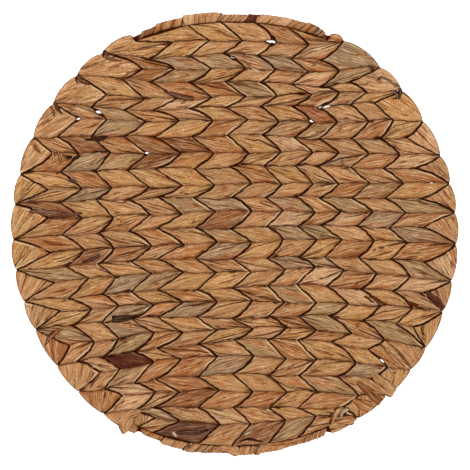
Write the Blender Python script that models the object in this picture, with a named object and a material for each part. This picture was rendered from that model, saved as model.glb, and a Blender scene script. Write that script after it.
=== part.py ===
"""A round table mat, woven from dried leaf, with a leaf-wrapped rim along its top and bottom edges.

Metres, +Z up. The mat lies flat on its underside at z = 0, with the middle of its box over the origin.
Toward +Y is the edge with the longer wrapped rim.

The weave is a herringbone. Seams run across the mat and part its rows. Zigzags run down it and part the
leaf strokes of each row, which lean one way in odd rows and the other way in even rows. At the sides the
last strokes turn round the edge, two rows at a time, and leave a scalloped outline.
"""

import math
import random

import bmesh
import bpy
import numpy as np

MM = 0.001
LEFT, RIGHT = -1, 1

# Thickness of the woven field: flat pads below, crowned pads above, and grooves between them
FIELD_TOP = 7.6 * MM
FIELD_TOP_GROOVE = 4.6 * MM
FIELD_LOW_GROOVE = 2.0 * MM
CROWN_UNEVENNESS = 0.5 * MM
TOP_PAD_SHARE = 0.52
LOW_PAD_SHARE = 0.62

# Mean radius of the outline at even steps, counterclockwise from +X
OUTLINE_RADII = [r * MM for r in (190.0, 189.0, 191.5, 189.0, 193.5, 192.5, 190.2, 189.0, 190.2, 187.5, 189.0, 190.0)]

# Scallops of the two sides: notches are cut in and the turned strokes swell out, more so in the upper half
NOTCH_DEPTH = 1.7 * MM
BULGE = (0.6 * MM, 1.7 * MM)
BULGE_ROUNDNESS = 0.7

# Wrapped rims: each is a wound tube along an arc of the outline
RIM_WIDTH = 7.0 * MM
RIM_HEIGHT = 7.0 * MM
RIM_GAP = 0.4 * MM
WRAP_PITCH = 3.6 * MM
WRAP_VALLEY = 0.86
WRAP_SLANT = 0.75
RIM_TAPER_LENGTH = 14.0 * MM
RIM_TAPER = 0.72
RIM_END_CLEARANCE = 2.6 * MM
RIM_ENDS = {"rim_top": (64.5, 117.2), "rim_bottom": (243.4, 296.0)}

# Heights of the seams, in millimetres, from the top seam down. The upper and lower rims' inner edges close the
# first and the last row. Columns: at the left edge, at -SEAM_STATION, in the middle, at SEAM_STATION, right edge
SEAM_STATION = 72.5 * MM
SEAM_HEIGHTS = (
    (168, 164, 167, 162, 167),
    (156, 150, 155, 148, 158),
    (151, 141, 143, 138, 144),
    (137, 130, 131, 127, 135),
    (126, 115, 118, 120, 124),
    (113, 105, 109, 109, 115),
    (102, 96, 98, 97, 98),
    (84, 83, 86, 82, 84),
    (70, 70, 71, 70, 68),
    (52, 56, 58, 59, 56),
    (39, 40, 44, 44, 44),
    (26, 32, 32, 32, 31),
    (13, 17, 20, 20, 19),
    (-4, 5, 6, 8, 5),
    (-17, -9, -6, -3, -8),
    (-30, -21, -20, -18, -24),
    (-44, -32, -32, -28, -39),
    (-57, -48, -45, -42, -53),
    (-68, -59, -56, -58, -65),
    (-81, -70, -71, -68, -81),
    (-97, -84, -80, -80, -97),
    (-112, -96, -90, -89, -105),
    (-123, -109, -102, -106, -115),
    (-134, -124, -119, -120, -126),
    (-143, -133, -133, -134, -138),
    (-153, -148, -147, -149, -146),
    (-162, -156, -163, -154, -157),
)
ROWS = len(SEAM_HEIGHTS) + 1

# Zigzags, in millimetres, from left to right. Columns: middle line at ZIGZAG_STATION above the middle, at the
# middle, and as far below it, then the swing to each side of that line
ZIGZAG_STATION = 100 * MM
ZIGZAGS = (
    (-162, -171, -151, 12.5),
    (-142, -138, -127, 9.0),
    (-116, -110, -105, 7.0),
    (-86, -81, -78, 9.0),
    (-59, -55, -56, 11.0),
    (-28, -25, -23, 9.0),
    (2, 6, 7, 8.5),
    (30, 34, 36, 7.5),
    (58, 61, 62, 8.0),
    (80, 83, 93, 8.5),
    (106, 111, 121, 7.5),
    (128, 140, 145, 7.5),
    (152, 172, 157, 11.0),
)
POINT_SCATTER = 1.0 * MM
LEAST_STROKE = 12.0 * MM
RIM_POINT_SPACING = 9.0 * MM
SCATTER_SEED = 28
SETTLING_ROUNDS = 12

FIELD_COLOUR = (0.50, 0.27, 0.12, 1.0)
RIM_COLOUR = (0.42, 0.21, 0.09, 1.0)
LEAF_ROUGHNESS = 0.55


def polar(angle, radius):
    return np.array((radius * math.cos(angle), radius * math.sin(angle)))


def outline_radius(angle):
    """The mean radius of the outline toward an angle."""
    place = angle / (2 * math.pi) * len(OUTLINE_RADII)
    before = math.floor(place)
    share = place - before
    ease = share * share * (3 - 2 * share)
    here = OUTLINE_RADII[before % len(OUTLINE_RADII)]
    after = OUTLINE_RADII[(before + 1) % len(OUTLINE_RADII)]
    return here + (after - here) * ease


def rim_inner_radius(angle):
    """The radius of the woven field where a wrapped rim borders it."""
    return outline_radius(angle) - RIM_WIDTH - RIM_GAP


def edge_angle(side, height):
    """The angle at which the outline has this height, on one side of the mat."""
    angle = 0.0 if side == RIGHT else math.pi
    for _ in range(SETTLING_ROUNDS):
        rise = math.asin(height / outline_radius(angle))
        angle = rise if side == RIGHT else math.pi - rise
    return angle


def seam_end_angles(side):
    """The angles of all seam ends on a side, from the top rim's end down to the bottom rim's end."""
    if side == LEFT:
        column, top, bottom = 0, RIM_ENDS["rim_top"][1], RIM_ENDS["rim_bottom"][0]
    else:
        column, top, bottom = -1, RIM_ENDS["rim_top"][0], RIM_ENDS["rim_bottom"][1] - 360
    ends = [edge_angle(side, heights[column] * MM) for heights in SEAM_HEIGHTS]
    return [math.radians(top), *ends, math.radians(bottom)]


def notch_angles(side, ends):
    """Strokes turn round the edge between even seams on the left and between odd seams on the right."""
    if side == LEFT:
        return ends[0::2]
    return [ends[0], *ends[1::2], ends[-1]]


def edge_point(angle, notches):
    """A point of the scalloped outline, which lies deepest at the notches and swells out between them."""
    turned = [abs(notch - notches[0]) for notch in notches]
    share = np.interp(abs(angle - notches[0]), turned, range(len(turned))) % 1.0
    upper = 0.5 + 0.5 * math.sin(angle)
    bulge = BULGE[0] + (BULGE[1] - BULGE[0]) * upper
    swell = math.sin(math.pi * share) ** BULGE_ROUNDNESS
    return polar(angle, outline_radius(angle) - NOTCH_DEPTH + (NOTCH_DEPTH + bulge) * swell)


def scatter(seam, zigzag):
    """A small steady offset for one vertex of a zigzag."""
    dice = random.Random(SCATTER_SEED + 100 * seam + zigzag)
    return np.array((dice.uniform(-1, 1), dice.uniform(-1, 1))) * POINT_SCATTER


def zigzag_middle(zigzag, height):
    top, middle, bottom, _ = ZIGZAGS[zigzag]
    lift = height / ZIGZAG_STATION
    bend = (top + bottom) / 2 - middle
    return (middle + (top - bottom) / 2 * lift + bend * lift * lift) * MM


def rim_point(x, seam):
    """The point at this x where the first or the last seam borders its rim."""
    sign = 1 if seam == 0 else -1
    angle = sign * math.pi / 2
    for _ in range(SETTLING_ROUNDS):
        angle = sign * math.acos(x / rim_inner_radius(angle))
    return polar(angle, rim_inner_radius(angle))


def seam_point(seam, x, ends):
    """The point of a seam at this x, between its two end points."""
    if seam in (0, ROWS):
        return rim_point(x, seam)
    heights = np.array(SEAM_HEIGHTS[seam - 1]) * MM
    stations = (ends[0][0], -SEAM_STATION, 0.0, SEAM_STATION, ends[1][0])
    return np.array((x, np.interp(x, stations, heights)))


def seam_line(seam, ends):
    """One seam's points from left to right, and where each zigzag meets it as an index into them."""
    points = [ends[0]]
    meets = []
    swing_side = 1 if seam % 2 else -1
    for zigzag, (_, _, _, swing) in enumerate(ZIGZAGS):
        x = 0.0
        for _ in range(SETTLING_ROUNDS):
            height = seam_point(seam, x, ends)[1]
            x = zigzag_middle(zigzag, height) + swing_side * swing * MM
            x = min(max(x, ends[0][0]), ends[1][0])
        offset = scatter(seam, zigzag)
        point = seam_point(seam, x + offset[0], ends)
        if seam not in (0, ROWS):
            point = point + (0.0, offset[1])
        room = min(np.linalg.norm(point - ends[0]), np.linalg.norm(point - ends[1]))
        inside = ends[0][0] < x < ends[1][0] and room > LEAST_STROKE
        if inside:
            points.append(point)
        meets.append(len(points) - 1 if inside or x < 0 else None)
    points.append(ends[1])
    last = len(points) - 1
    return points, [last if meet is None else meet for meet in meets]


def rim_filled(seam, points):
    """The seam's points with more along the rim, as (point, index of the old point or None)."""
    filled = [(points[0], 0)]
    for index, (before, after) in enumerate(zip(points, points[1:])):
        steps = 1
        if seam in (0, ROWS):
            steps = max(1, round(np.linalg.norm(after - before) / RIM_POINT_SPACING))
        for step in range(1, steps):
            x = before[0] + (after[0] - before[0]) * step / steps
            filled.append((rim_point(x, seam), None))
        filled.append((after, index + 1))
    return filled


class Plan:
    """The weave seen from above: points, and each stroke as a loop of point numbers."""

    def __init__(self):
        self.points = []
        self.strokes = []
        self.turned_edges = []
        self.build()

    def add(self, point):
        self.points.append(point)
        return len(self.points) - 1

    def build(self):
        angles = {side: seam_end_angles(side) for side in (LEFT, RIGHT)}
        notches = {side: notch_angles(side, angles[side]) for side in (LEFT, RIGHT)}
        corners = {}
        lines = []
        for seam in range(ROWS + 1):
            ends = []
            for side in (LEFT, RIGHT):
                angle = angles[side][seam]
                ends.append(edge_point(angle, notches[side]))
                if seam in (0, ROWS):
                    corners[seam, side] = self.add(ends[-1])
                    ends[-1] = polar(angle, rim_inner_radius(angle))
            points, meets = seam_line(seam, ends)
            numbers = []
            places = {}
            for point, old in rim_filled(seam, points):
                if old is not None:
                    places[old] = len(numbers)
                numbers.append(self.add(point))
            lines.append((numbers, [places[meet] for meet in meets]))
        for row in range(ROWS):
            self.add_row(row, lines, angles, notches, corners)
        self.mark_turned_edges(lines)

    def side_points(self, row, side, angles, notches, corners):
        """The outline's points between the ends of a row's two seams, going down."""
        middle = (angles[side][row] + angles[side][row + 1]) / 2
        numbers = [self.add(edge_point(middle, notches[side]))]
        if row == 0:
            numbers.insert(0, corners[0, side])
        if row == ROWS - 1:
            numbers.append(corners[ROWS, side])
        return numbers

    def add_row(self, row, lines, angles, notches, corners):
        (upper, upper_meets), (lower, lower_meets) = lines[row], lines[row + 1]
        borders = [(0, 0), *zip(upper_meets, lower_meets), (len(upper) - 1, len(lower) - 1)]
        left_points = self.side_points(row, LEFT, angles, notches, corners)
        right_points = self.side_points(row, RIGHT, angles, notches, corners)
        borders = sorted(set(borders))
        for first, (before, after) in enumerate(zip(borders, borders[1:])):
            loop = upper[before[0] : after[0] + 1]
            if first == len(borders) - 2:
                loop = loop + right_points
            loop = loop + lower[before[1] : after[1] + 1][::-1]
            if first == 0:
                loop = loop + left_points[::-1]
            self.strokes.append(loop)

    def mark_turned_edges(self, lines):
        """The ends of seams that a turned stroke covers, so the strokes on both sides of them are one."""
        for seam in range(1, ROWS):
            numbers = lines[seam][0]
            ends = numbers[:2] if seam % 2 else numbers[-2:]
            self.turned_edges.append(frozenset(ends))


def raise_pads(bm, faces, share, level, unevenness):
    """Each face gets a pad: its outline drawn in about its middle, at its own level."""
    dice = random.Random(SCATTER_SEED)
    for pad in bmesh.ops.extrude_discrete_faces(bm, faces=faces)["faces"]:
        centre = pad.calc_center_median_weighted()
        pad_level = level - dice.random() * unevenness
        for vert in pad.verts:
            drawn = centre + (vert.co - centre) * share
            vert.co = (drawn.x, drawn.y, pad_level)


def make_material(name, colour):
    material = bpy.data.materials.new(name)
    material.use_nodes = True
    shader = material.node_tree.nodes["Principled BSDF"]
    shader.inputs["Base Color"].default_value = colour
    shader.inputs["Roughness"].default_value = LEAF_ROUGHNESS
    shader.inputs["Metallic"].default_value = 0.0
    return material


def make_woven_field(collection, material):
    """All the strokes as one solid, with a groove round each on both faces."""
    plan = Plan()
    bm = bmesh.new()
    verts = [bm.verts.new((x, y, FIELD_LOW_GROOVE)) for x, y in plan.points]
    for loop in plan.strokes:
        bm.faces.new([verts[number] for number in loop])
    bm.verts.index_update()
    turned = [e for e in bm.edges if frozenset(v.index for v in e.verts) in plan.turned_edges]
    bmesh.ops.dissolve_edges(bm, edges=turned)
    low_faces = list(bm.faces)
    raised = bmesh.ops.extrude_face_region(bm, geom=low_faces, use_keep_orig=True)["geom"]
    top_faces = [item for item in raised if isinstance(item, bmesh.types.BMFace)]
    for vert in {v for face in top_faces for v in face.verts}:
        vert.co.z = FIELD_TOP_GROOVE
    bmesh.ops.recalc_face_normals(bm, faces=bm.faces)
    raise_pads(bm, top_faces, TOP_PAD_SHARE, FIELD_TOP, CROWN_UNEVENNESS)
    raise_pads(bm, low_faces, LOW_PAD_SHARE, 0.0, 0.0)
    bmesh.ops.recalc_face_normals(bm, faces=bm.faces)
    mesh = bpy.data.meshes.new("woven_field")
    bm.to_mesh(mesh)
    bm.free()
    mesh.materials.append(material)
    field = bpy.data.objects.new("woven_field", mesh)
    collection.objects.link(field)
    return field


def rim_spine(start, stop):
    """Points (x, y, radius factor) down a rim's middle, two to each wrap."""
    length = (stop - start) * outline_radius((start + stop) / 2)
    wraps = round(length / WRAP_PITCH)
    for step in range(2 * wraps + 1):
        along = length * step / (2 * wraps)
        angle = start + (stop - start) * step / (2 * wraps)
        end_share = min(1.0, min(along, length - along) / RIM_TAPER_LENGTH)
        factor = RIM_TAPER + (1 - RIM_TAPER) * math.sin(end_share * math.pi / 2)
        if step % 2:
            factor *= WRAP_VALLEY
        yield (*polar(angle, outline_radius(angle) - RIM_WIDTH / 2), factor)


def make_rim(name, collection, material):
    """A leaf-wound tube. The wraps lean: the outer side of each lies further clockwise than its inner side."""
    first, last = (math.radians(end) for end in RIM_ENDS[name])
    clearance = RIM_END_CLEARANCE / outline_radius(first)
    spine = list(rim_spine(first + clearance, last - clearance))
    curve = bpy.data.curves.new(name + "_spine", "CURVE")
    curve.dimensions = "3D"
    curve.twist_mode = "Z_UP"
    curve.bevel_depth = RIM_WIDTH / 2
    curve.bevel_resolution = 2
    curve.use_fill_caps = True
    spline = curve.splines.new("POLY")
    spline.points.add(len(spine) - 1)
    for point, (x, y, factor) in zip(spline.points, spine):
        point.co = (x, y, RIM_HEIGHT / 2, 1.0)
        point.radius = factor
    tube = bpy.data.objects.new(name + "_spine", curve)
    collection.objects.link(tube)
    tube_seen = tube.evaluated_get(bpy.context.evaluated_depsgraph_get())
    mesh = bpy.data.meshes.new_from_object(tube_seen)
    mesh.name = name
    bpy.data.objects.remove(tube)
    bpy.data.curves.remove(curve)
    bm = bmesh.new()
    bm.from_mesh(mesh)
    bmesh.ops.remove_doubles(bm, verts=bm.verts, dist=0.01 * MM)
    lean_wraps(bm)
    bmesh.ops.recalc_face_normals(bm, faces=bm.faces)
    bm.to_mesh(mesh)
    bm.free()
    mesh.materials.clear()
    mesh.materials.append(material)
    rim = bpy.data.objects.new(name, mesh)
    collection.objects.link(rim)
    return rim


def lean_wraps(bm):
    for vert in bm.verts:
        angle = math.atan2(vert.co.y, vert.co.x)
        radius = math.hypot(vert.co.x, vert.co.y)
        outward = radius - (outline_radius(angle) - RIM_WIDTH / 2)
        vert.co.x, vert.co.y = polar(angle - WRAP_SLANT * outward / radius, radius)


def stand_over_origin(objects):
    """Moves the whole mat so that the middle of its box is over the origin, and its lowest face at z = 0."""
    corners = np.array([v.co[:] for obj in objects for v in obj.data.vertices])
    low, high = corners.min(axis=0), corners.max(axis=0)
    shift = ((low[0] + high[0]) / 2, (low[1] + high[1]) / 2, low[2])
    for obj in objects:
        obj.location = (-shift[0], -shift[1], -shift[2])


def clear_scene():
    for obj in list(bpy.data.objects):
        bpy.data.objects.remove(obj, do_unlink=True)


def main():
    clear_scene()
    collection = bpy.data.collections.new("leaf_placemat")
    bpy.context.scene.collection.children.link(collection)
    field_material = make_material("woven_leaf", FIELD_COLOUR)
    rim_material = make_material("wrapped_leaf", RIM_COLOUR)
    pieces = [make_woven_field(collection, field_material)]
    for name in RIM_ENDS:
        pieces.append(make_rim(name, collection, rim_material))
    stand_over_origin(pieces)


main()
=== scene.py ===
"""The looks of a round table mat woven from dried leaf.

The weave is laid out as in the solids: seams run across the mat, zigzags run down it, and the stroke of leaf
between two zigzags and two seams is a puffed, fibrous pillow. The strokes of a row are one mesh. Under them
lies a dark core sheet of painted shade, which shows only as the bottom of the gaps. Two wound rims close the
top and bottom edges, and torn ends, tucks and folds of loose leaf lie on the weave. Dark lines of painted
shade run in the gaps, the folds and round the outline, and painted highlights lie on the lips beside them.
"""

import math
import random
from collections import namedtuple

import bmesh
import bpy
import numpy as np
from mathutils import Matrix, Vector
from mathutils.kdtree import KDTree


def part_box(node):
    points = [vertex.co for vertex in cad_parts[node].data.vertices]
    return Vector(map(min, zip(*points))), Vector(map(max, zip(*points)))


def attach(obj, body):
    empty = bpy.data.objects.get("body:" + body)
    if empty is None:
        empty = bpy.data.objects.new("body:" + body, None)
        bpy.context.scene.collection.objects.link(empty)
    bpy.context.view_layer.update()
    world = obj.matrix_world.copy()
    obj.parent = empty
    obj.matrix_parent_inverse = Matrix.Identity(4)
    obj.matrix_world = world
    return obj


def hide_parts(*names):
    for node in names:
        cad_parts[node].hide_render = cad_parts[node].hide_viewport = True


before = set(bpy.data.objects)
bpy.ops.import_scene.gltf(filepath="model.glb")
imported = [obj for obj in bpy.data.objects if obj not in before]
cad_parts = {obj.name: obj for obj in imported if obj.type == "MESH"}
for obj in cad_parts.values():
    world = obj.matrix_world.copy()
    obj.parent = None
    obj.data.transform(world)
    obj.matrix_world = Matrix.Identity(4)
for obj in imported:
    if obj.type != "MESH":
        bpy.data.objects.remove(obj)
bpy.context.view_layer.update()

MM = 0.001
LEFT, RIGHT = -1, 1
BODY = "root"

# The photograph's framing: the real width that its 470 pixels span, seen from straight above
VIEW_WIDTH = 0.402
VIEW_CENTRE = (0.2 * MM, 0.0)
CAMERA_HEIGHT = 2.4
SENSOR_WIDTH = 36.0

# Outline, seams and zigzags, with the names and nearly all the sizes of the solids' source
OUTLINE_RADII = [
    r * MM for r in (190.0, 189.0, 191.5, 189.0, 193.5, 192.5, 190.2, 189.0, 190.2, 187.5, 189.0, 190.0)
]
NOTCH_DEPTH = (0.4 * MM, 1.6 * MM)
BULGE = (0.6 * MM, 1.7 * MM)
BULGE_ROUNDNESS = 0.7
RIM_WIDTH = 7.0 * MM
RIM_HEIGHT = 7.0 * MM
RIM_GAP = 0.4 * MM
RIM_END_CLEARANCE = 2.6 * MM
RIM_ENDS = {"rim_top": (64.5, 117.2), "rim_bottom": (243.4, 296.0)}

# Heights of the seams, in millimetres, from the top seam down.
# Columns: at the left edge, at -SEAM_STATION, in the middle, at SEAM_STATION, at the right edge
SEAM_STATION = 72.5 * MM
SEAM_HEIGHTS = (
    (168, 164, 167, 162, 167),
    (156, 150, 155, 148, 158),
    (151, 141, 143, 138, 144),
    (137, 130, 131, 127, 135),
    (126, 115, 118, 120, 124),
    (113, 105, 109, 109, 115),
    (102, 96, 98, 97, 98),
    (84, 83, 86, 82, 84),
    (70, 70, 71, 70, 68),
    (52, 56, 58, 59, 56),
    (39, 40, 44, 44, 44),
    (26, 32, 32, 32, 31),
    (13, 17, 20, 20, 19),
    (-4, 5, 6, 8, 5),
    (-17, -9, -6, -3, -8),
    (-30, -21, -20, -18, -24),
    (-44, -32, -32, -28, -39),
    (-57, -48, -45, -42, -53),
    (-68, -59, -56, -58, -65),
    (-81, -70, -71, -68, -81),
    (-97, -84, -80, -80, -97),
    (-112, -96, -90, -89, -105),
    (-123, -109, -102, -106, -115),
    (-134, -124, -119, -120, -126),
    (-143, -133, -133, -134, -138),
    (-153, -148, -147, -149, -146),
    (-162, -156, -163, -154, -157),
)
ROWS = len(SEAM_HEIGHTS) + 1

# Zigzags, in millimetres, from left to right. Columns: middle line at ZIGZAG_STATION above the middle, at
# the middle, and as far below it, then the swing to each side of that line
ZIGZAG_STATION = 100 * MM
ZIGZAGS = (
    (-162, -171, -151, 12.5),
    (-142, -138, -127, 9.0),
    (-116, -110, -105, 7.0),
    (-86, -81, -78, 9.0),
    (-59, -55, -56, 11.0),
    (-28, -25, -23, 9.0),
    (2, 6, 7, 8.5),
    (30, 34, 36, 7.5),
    (58, 61, 62, 8.0),
    (80, 83, 93, 8.5),
    (106, 111, 121, 7.5),
    (128, 140, 145, 7.5),
    (152, 172, 157, 11.0),
)
# Points of the zigzags that the large strokes along the edge swallow. Columns: seam, zigzag
SWALLOWED = (
    (1, 3), (2, 3), (5, 1), (7, 0), (3, 10), (4, 11), (6, 12), (23, 0), (25, 1), (22, 11), (22, 12),
)
POINT_SCATTER = 1.0 * MM
LEAST_STROKE = 12.0 * MM
SCATTER_SEED = 28
SEED_STRIDE = 7919
SETTLING_ROUNDS = 12

# Bows of the strokes' borders, from least to most: zigzags mostly bow to the right, by a share of their
# length
ZIGZAG_BOW = (-0.03, 0.09)
SEAM_BOW = (-1.3 * MM, 1.6 * MM)
BOW_SKEW = (0.75, 1.35)
KINK = 0.38 * MM
KINK_WAVES = (1.5, 3.0)
BORDER_STEP = 1.5 * MM
SIDE_POINTS = 4
# Corners that turn by less than this, as a sine, are drawn in straight
LEAST_TURN = 0.15

# Levels of a stroke's pillow
BASE_TOP = 4.2 * MM
CROWN = 3.4 * MM
BASE_LOW = 2.6 * MM
LOW_CROWN = 2.6 * MM
# How fast the underside reaches its full depth, and the share of the upper side's grooves that shows there
LOW_FULLNESS = 1.12
LOW_RELIEF = 0.6
CROWN_UNEVENNESS = 0.22
# How much of the crown is lost toward the two sides of a stroke
CROWN_FALL = 0.14

# How each kind of border is drawn in and slopes down. Columns: inset, share of the crown that is left at the
# border, slope width, roundness of the slope
BORDERS = {
    "left": (0.20 * MM, 0.22, 5.5 * MM, 2.0),
    "right": (0.20 * MM, 0.00, 1.4 * MM, 2.2),
    "seam": (0.05 * MM, 0.40, 2.4 * MM, 2.0),
    "edge": (0.00 * MM, 0.00, 4.6 * MM, 2.0),
    "rim": (0.00 * MM, 0.50, 2.6 * MM, 2.0),
}
INSET_SPREAD = (0.3, 2.0)
MOST_CORNER_INSET = 2.0 * MM
TIP_WIDTH = 0.30 * MM

# Mesh steps along and across a stroke, and how closely they crowd at its sides
STEPS_ALONG = 34
STEPS_ACROSS = 16
CROWDING = 0.45

# Low ridges along the leaf: how many across a stroke, and their height
FIBRE_RIDGES = ((2.3, 0.16 * MM), (4.6, 0.12 * MM), (8.2, 0.06 * MM))
# Chances of no, one and two folds in a stroke, and the depth and the spread of a fold
FOLD_WEIGHTS = (0.48, 0.36, 0.16)
FOLD_DEPTH = 0.5 * MM
FOLD_WIDTH = 0.8 * MM
FOLD_LANES = (-0.32, 0.32)
FOLD_REACH = (0.45, 1.0)
FOLD_NARROWEST = 0.35
# Past its reach a fold fades out over this share of the stroke, as if it lay this much farther off
FOLD_FADE = 0.25
FOLD_SHIFT = 4 * MM
# How wide the fibres still spread at the tips, and how fast they spread away from them
TIP_CLOSENESS = 0.45
TIP_ROUNDNESS = 0.7
# How far the fibres follow the stroke's sides rather than the line from tip to tip
FIBRE_CURVE = 0.35
FAR = 20.0 * MM
# Where the fibres of an edge stroke start, past its notch, and how they spread
FAN_HUB = 1.8
FAN_SPREAD = 42.0 * MM
SHARP_ANGLE = 55.0
LEAF_SEED = 4000
# Lanes of the fibre pattern, which keep neighbouring leaves from looking alike
LANES = (0, 40)
UNDER_LANE = 0.5
WRAP_LANE = 1.7

CORE_LEVELS = (2.9 * MM, 4.3 * MM)
CORE_MARGIN = 1.3 * MM
CORE_POINTS = 360
SLIT_POINTS = 20

# Tones of the leaf, as screen colours from 0 to 255
TONES = {
    "tan": (202, 145, 95),
    "gold": (208, 151, 92),
    "pale": (224, 173, 126),
    "rust": (184, 118, 68),
    "russet": (158, 82, 44),
    "olive": (174, 136, 93),
    "grey": (168, 135, 101),
    "brown": (144, 88, 52),
    "maroon": (84, 34, 24),
    "dark": (62, 40, 32),
    "umber": (100, 62, 48),
    "plum": (112, 66, 54),
    # Painted shade: near-black leaf laid in dark pockets and gaps beside tucks
    "pocket_shade": (28, 16, 11),
    "cream": (238, 210, 176),
}
# Tones that streak every leaf, the painted highlight on its lips, the painted shade in its gaps, folds and
# outline, and the core's painted shade
STREAK_TONES = {
    "rust": (186, 104, 52),
    "olive": (178, 139, 90),
    "gold": (222, 161, 98),
    # Dark streaks of the grain and cracks, also used for the painted soft shade beside the borders
    "dark": (112, 44, 8),
    "bright": (255, 213, 166),
    # Painted highlight: pale light on the raised lips beside the dark lines
    "highlighted": (255, 226, 176),
    # Painted shade in the gaps between strokes, in folds and round the outline
    "groove": (40, 6, 0),
    # Painted shade of the core sheet, in a darker and a lighter tone
    "shade": (42, 10, 0),
    "lit shade": (84, 34, 10),
}
# The tone's brightness from which the streaks show in full, and how much of them dark leaf has
FULL_STREAKS = 0.17
LEAST_STREAKS = 0.20
CRACK_STRENGTH = 0.78
CREASE_STRENGTH = 0.80
BUMP_DEPTH = 0.30 * MM
GLOSS_TINT = (1.0, 0.72, 0.45, 1.0)
# How often a stroke without an accent has each tone
TONE_MIX = {"tan": 0.42, "gold": 0.22, "pale": 0.10, "rust": 0.12, "olive": 0.09, "grey": 0.05}
# How bright the leaf of strokes, loose bits and wraps is, from least to most
STROKE_BRIGHTNESS = (0.84, 1.04)
LOOSE_BRIGHTNESS = (0.92, 1.05)
WRAP_BRIGHTNESS = (0.88, 1.06)

# Strokes that stand out in the photograph, each by a place in it, in millimetres right of and above the
# middle
ACCENTS = {
    "maroon": ((-90, -105),),
    "tan": ((-89, 161), (-108, 144), (-136, 122), (-170, 73), (-174, -38)),
    "umber": ((-38, -169),),
    "brown": (
        (-36, -142), (21, -170), (-120, 77), (-70, 78), (-120, -20), (-155, 19), (-14, 10), (-40, 77),
        (-64, 64),
    ),
    "rust": ((-147, 73), (-98, 77), (-10, 77), (-30, 64), (-42, -20), (47, -97)),
    "gold": ((-35, 85), (-62, 97), (-28, 50)),
    "russet": ((79, 102),),
    "olive": (
        (-15, 148), (94, 132), (45, 91), (119, 76), (124, 38), (-10, 0), (155, -34), (99, -84),
        (21, -95), (-94, -120), (79, -128), (174, 26),
    ),
    "grey": (
        (47, 145), (103, 150), (92, 115), (-97, 90), (-4, 25), (46, 25), (-8, -109), (110, -113),
    ),
}
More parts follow.
